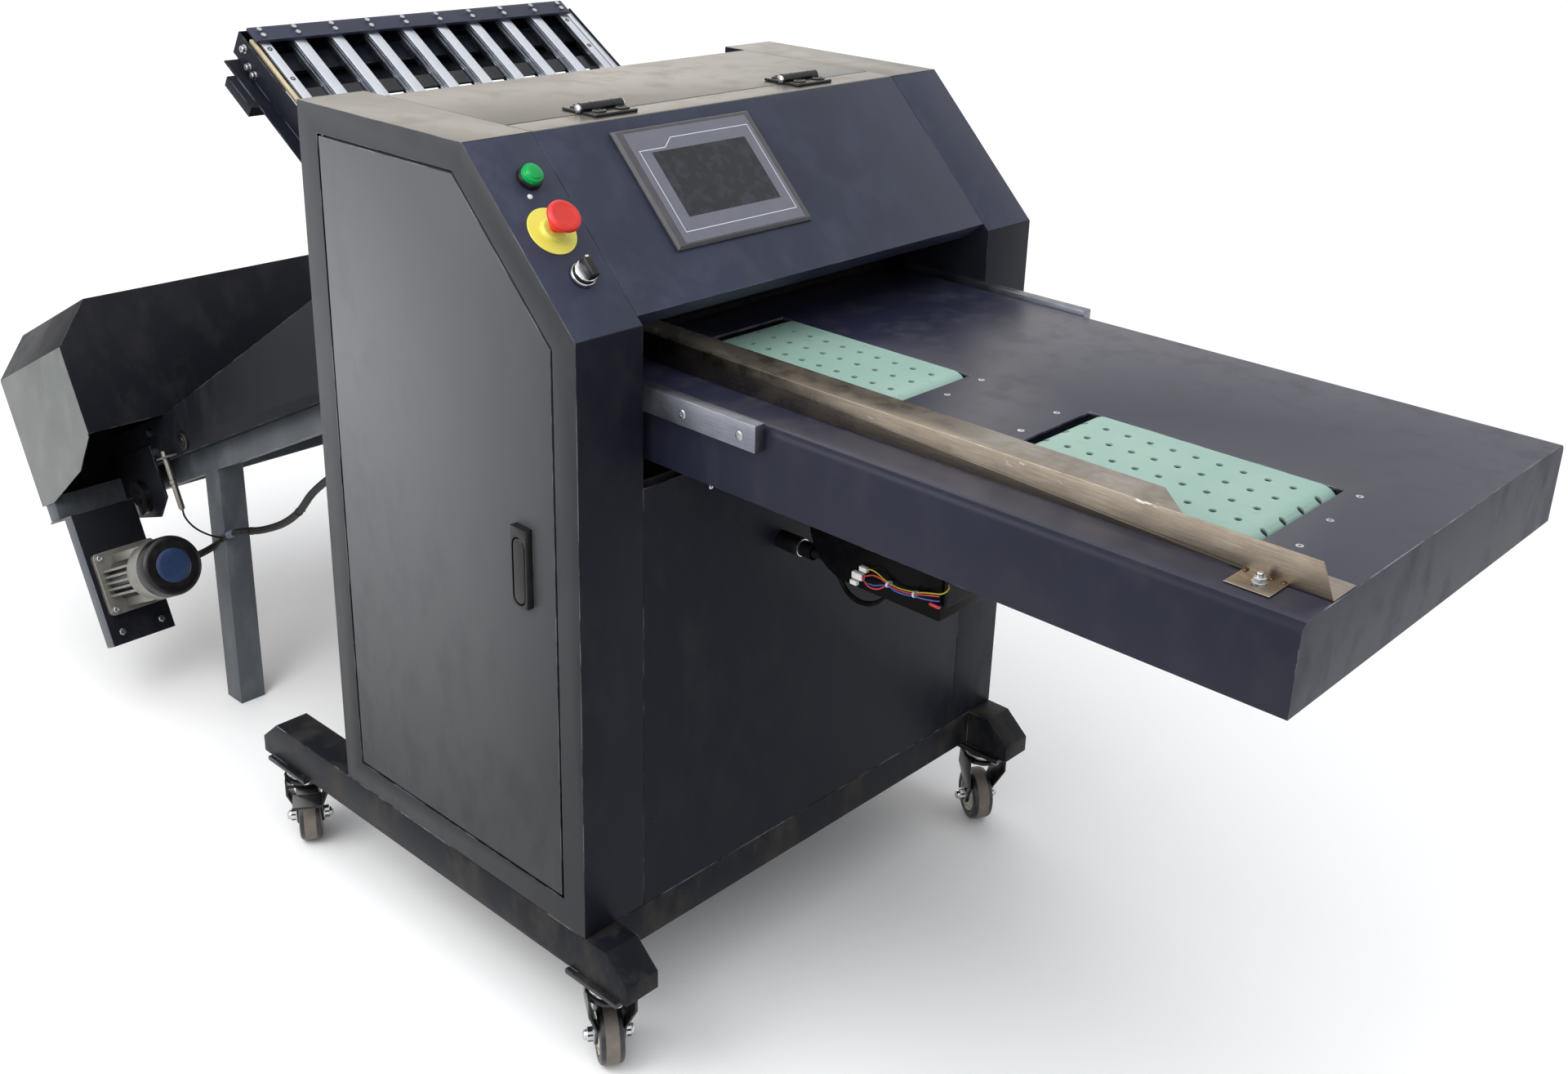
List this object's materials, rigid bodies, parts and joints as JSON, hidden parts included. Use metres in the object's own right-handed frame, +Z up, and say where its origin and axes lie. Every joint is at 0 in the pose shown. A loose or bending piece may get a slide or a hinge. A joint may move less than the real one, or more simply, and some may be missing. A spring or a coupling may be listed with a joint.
{
  "type": "paper folding machine",
  "caption": "Floor-standing paper creasing and folding machine: suction feed table, hooded cabinet on castors, slatted fold plate and sloping belt delivery with motor.",
  "frame": {"origin": "On the floor, below the centre of the bounding box, on the machine's mid-plane.", "axes": "+X to the right of the person at the feed table, +Y from the feed table to the delivery, +Z up."},
  "size_m": [0.8576, 2.33, 1.1853],
  "materials": {
    "dark_powder_coat": "fine-textured navy-charcoal powder coat, satin",
    "grey_paint": "light grey satin paint",
    "black_paint": "black enamel on pressed steel",
    "wheel_rubber": "warm-grey rubber tread with black shoulders",
    "black_plastic": "moulded black plastic",
    "grey_plastic": "fine-textured grey moulding round a dark glossy screen",
    "green_lens": "translucent green lens on a black collar",
    "yellow_plastic": "yellow plate, bare of lettering",
    "red_plastic": "red mushroom head",
    "suction_belt": "pale green polyurethane belt, perforated",
    "carrier_belt": "green polyurethane belt, matt",
    "roller_rubber": "ground black rubber over steel",
    "aluminium": "mill-finish and cast aluminium",
    "stainless_steel": "brushed stainless sheet, scratched",
    "ground_steel": "ground steel",
    "cable_jacket": "black cable jacket"
  },
  "bodies": {
    "machine": {"base_frame": "dark_powder_coat", "left_housing": "dark_powder_coat", "right_housing": "dark_powder_coat", "top_cover": "dark_powder_coat", "front_panel": "dark_powder_coat", "rear_panel": "dark_powder_coat", "hood_hinge_left": "black_paint", "hood_hinge_right": "black_paint", "pilot_lamp": "green_lens", "emergency_stop_plate": "yellow_plastic", "feed_table": "dark_powder_coat", "feed_belt_front": "suction_belt", "feed_belt_rear": "suction_belt", "table_bar_left": "aluminium", "table_bar_right": "aluminium", "blower": "black_plastic", "blower_lead": "cable_jacket", "creasing_anvil": "ground_steel", "fold_plate_frame": "dark_powder_coat", "fold_plate_slats": "aluminium", "fold_plate_rail": "dark_powder_coat", "delivery_frame": "grey_paint", "delivery_tray": "dark_powder_coat", "carrier_belt": "carrier_belt", "delivery_cover": "dark_powder_coat", "motor_bracket": "grey_paint", "delivery_motor": "aluminium", "motor_cable": "cable_jacket"},
    "castor_front_left": {"castor_fork_front_left": "black_paint"},
    "castor_front_right": {"castor_fork_front_right": "black_paint"},
    "castor_rear_left": {"castor_fork_rear_left": "black_paint"},
    "castor_rear_right": {"castor_fork_rear_right": "black_paint"},
    "wheel_front_left": {"castor_wheel_front_left": "wheel_rubber"},
    "wheel_front_right": {"castor_wheel_front_right": "wheel_rubber"},
    "wheel_rear_left": {"castor_wheel_rear_left": "wheel_rubber"},
    "wheel_rear_right": {"castor_wheel_rear_right": "wheel_rubber"},
    "pedal_left": {"brake_pedal_left": "black_paint"},
    "pedal_right": {"brake_pedal_right": "black_paint"},
    "door": {"side_door": "dark_powder_coat"},
    "handle": {"door_handle": "black_plastic"},
    "hood": {"hood": "dark_powder_coat", "touch_panel": "grey_plastic"},
    "stop_button": {"emergency_stop_button": "red_plastic"},
    "selector": {"selector_knob": "black_plastic"},
    "guide": {"side_guide": "stainless_steel"},
    "belt_front_roller_front": {"feed_belt_front_roller_front": "roller_rubber"},
    "belt_front_roller_rear": {"feed_belt_front_roller_rear": "roller_rubber"},
    "belt_rear_roller_front": {"feed_belt_rear_roller_front": "roller_rubber"},
    "belt_rear_roller_rear": {"feed_belt_rear_roller_rear": "roller_rubber"},
    "infeed_lower": {"infeed_roller_lower": "roller_rubber"},
    "infeed_upper": {"infeed_roller_upper": "roller_rubber"},
    "blade": {"creasing_blade": "ground_steel"},
    "fold_upper": {"fold_roller_upper": "roller_rubber"},
    "fold_middle": {"fold_roller_middle": "roller_rubber"},
    "fold_lower": {"fold_roller_lower": "roller_rubber"},
    "sheet_stop": {"sheet_stop": "black_paint"},
    "carrier_front": {"carrier_roller_front": "roller_rubber"},
    "carrier_rear": {"carrier_roller_rear": "roller_rubber"},
    "press_lower": {"press_roller_lower": "roller_rubber"},
    "press_upper": {"press_roller_upper": "roller_rubber"}
  },
  "joints": [
    {"name": "swivel_front_left", "type": "hinge", "parent": "machine", "child": "castor_front_left", "pos_m": [-0.3865, -0.396, 0.12], "axis": [0, 0, 1], "continuous": true},
    {"name": "swivel_front_right", "type": "hinge", "parent": "machine", "child": "castor_front_right", "pos_m": [0.3865, -0.396, 0.12], "axis": [0, 0, 1], "continuous": true},
    {"name": "swivel_rear_left", "type": "hinge", "parent": "machine", "child": "castor_rear_left", "pos_m": [-0.3865, 0.286, 0.12], "axis": [0, 0, 1], "continuous": true},
    {"name": "swivel_rear_right", "type": "hinge", "parent": "machine", "child": "castor_rear_right", "pos_m": [0.3865, 0.286, 0.12], "axis": [0, 0, 1], "continuous": true},
    {"name": "roll_front_left", "type": "hinge", "parent": "castor_front_left", "child": "wheel_front_left", "pos_m": [-0.3767, -0.3809, 0.04], "axis": [0.8387, -0.5446, 0], "continuous": true},
    {"name": "roll_front_right", "type": "hinge", "parent": "castor_front_right", "child": "wheel_front_right", "pos_m": [0.3963, -0.3809, 0.04], "axis": [0.8387, -0.5446, 0], "continuous": true},
    {"name": "roll_rear_left", "type": "hinge", "parent": "castor_rear_left", "child": "wheel_rear_left", "pos_m": [-0.3767, 0.3011, 0.04], "axis": [0.8387, -0.5446, 0], "continuous": true},
    {"name": "roll_rear_right", "type": "hinge", "parent": "castor_rear_right", "child": "wheel_rear_right", "pos_m": [0.3963, 0.3011, 0.04], "axis": [0.8387, -0.5446, 0], "continuous": true},
    {"name": "brake_left", "type": "hinge", "parent": "castor_rear_left", "child": "pedal_left", "pos_m": [-0.39413, 0.27426, 0.1092], "axis": [0.8387, -0.5446, 0], "range_deg": [0, 15]},
    {"name": "brake_right", "type": "hinge", "parent": "castor_rear_right", "child": "pedal_right", "pos_m": [0.37888, 0.27426, 0.1092], "axis": [0.8387, -0.5446, 0], "range_deg": [0, 15]},
    {"name": "door_swing", "type": "hinge", "parent": "machine", "child": "door", "pos_m": [-0.4085, 0.082, 0.678], "axis": [0, 0, 1], "range_deg": [-110, 0]},
    {"name": "handle_lift", "type": "hinge", "parent": "door", "child": "handle", "pos_m": [-0.4185, -0.285, 0.634], "axis": [0, 1, 0], "range_deg": [-30, 0]},
    {"name": "hood_lift", "type": "hinge", "parent": "machine", "child": "hood", "pos_m": [0, -0.1505, 1.1563], "axis": [1, 0, 0], "range_deg": [-100, 0]},
    {"name": "stop_press", "type": "slide", "parent": "machine", "child": "stop_button", "axis": [0, -0.7071, 0.7071], "range_m": [-0.004, 0]},
    {"name": "selector_turn", "type": "hinge", "parent": "machine", "child": "selector", "pos_m": [-0.358, -0.32767, 1.01833], "axis": [0, -0.7071, 0.7071], "range_deg": [-45, 45]},
    {"name": "guide_shift", "type": "slide", "parent": "machine", "child": "guide", "axis": [1, 0, 0], "range_m": [-0.02, 0.04]},
    {"name": "belt_front_drive", "type": "hinge", "parent": "machine", "child": "belt_front_roller_front", "pos_m": [0, -1.0357, 0.8722], "axis": [1, 0, 0], "continuous": true},
    {"name": "belt_front_idle", "type": "hinge", "parent": "machine", "child": "belt_front_roller_rear", "pos_m": [0, -0.7823, 0.8722], "axis": [1, 0, 0], "continuous": true},
    {"name": "belt_rear_drive", "type": "hinge", "parent": "machine", "child": "belt_rear_roller_front", "pos_m": [0, -0.5747, 0.8722], "axis": [1, 0, 0], "continuous": true},
    {"name": "belt_rear_idle", "type": "hinge", "parent": "machine", "child": "belt_rear_roller_rear", "pos_m": [0, -0.3213, 0.8722], "axis": [1, 0, 0], "continuous": true},
    {"name": "infeed_drive", "type": "hinge", "parent": "machine", "child": "infeed_lower", "pos_m": [0, -0.204, 0.872], "axis": [1, 0, 0], "continuous": true},
    {"name": "infeed_follow", "type": "hinge", "parent": "machine", "child": "infeed_upper", "pos_m": [0, -0.204, 0.9123], "axis": [1, 0, 0], "continuous": true},
    {"name": "blade_drop", "type": "slide", "parent": "machine", "child": "blade", "axis": [0, 0, 1], "range_m": [-0.018, 0], "stiffness_N_per_m": 5000, "springref_m": 0.01},
    {"name": "fold_drive", "type": "hinge", "parent": "machine", "child": "fold_middle", "pos_m": [0, 0.05175, 0.87901], "axis": [1, 0, 0], "continuous": true},
    {"name": "fold_upper_turn", "type": "hinge", "parent": "machine", "child": "fold_upper", "pos_m": [0, 0.03039, 0.91319], "axis": [1, 0, 0], "continuous": true},
    {"name": "fold_lower_turn", "type": "hinge", "parent": "machine", "child": "fold_lower", "pos_m": [0, 0.08962, 0.86523], "axis": [1, 0, 0], "continuous": true},
    {"name": "stop_set", "type": "slide", "parent": "machine", "child": "sheet_stop", "axis": [0, 0.848, 0.5299], "range_m": [-0.24, 0.08]},
    {"name": "carrier_drive", "type": "hinge", "parent": "machine", "child": "carrier_rear", "pos_m": [0, 0.75707, 0.49177], "axis": [1, 0, 0], "continuous": true},
    {"name": "carrier_idle", "type": "hinge", "parent": "machine", "child": "carrier_front", "pos_m": [0, 0.17285, 0.77671], "axis": [1, 0, 0], "continuous": true},
    {"name": "press_lower_turn", "type": "hinge", "parent": "machine", "child": "press_lower", "pos_m": [0, 0.85593, 0.44355], "axis": [1, 0, 0], "continuous": true},
    {"name": "press_upper_turn", "type": "hinge", "parent": "machine", "child": "press_upper", "pos_m": [0, 0.87009, 0.47258], "axis": [1, 0, 0], "continuous": true}
  ],
  "couplings": [
    {"joint": "belt_front_idle", "follows": "belt_front_drive", "ratio": 1},
    {"joint": "belt_rear_idle", "follows": "belt_rear_drive", "ratio": 1},
    {"joint": "infeed_follow", "follows": "infeed_drive", "ratio": -1},
    {"joint": "fold_upper_turn", "follows": "fold_drive", "ratio": -1},
    {"joint": "fold_lower_turn", "follows": "fold_drive", "ratio": -1},
    {"joint": "carrier_idle", "follows": "carrier_drive", "ratio": 1},
    {"joint": "press_lower_turn", "follows": "carrier_drive", "ratio": 1},
    {"joint": "press_upper_turn", "follows": "carrier_drive", "ratio": -1}
  ]
}
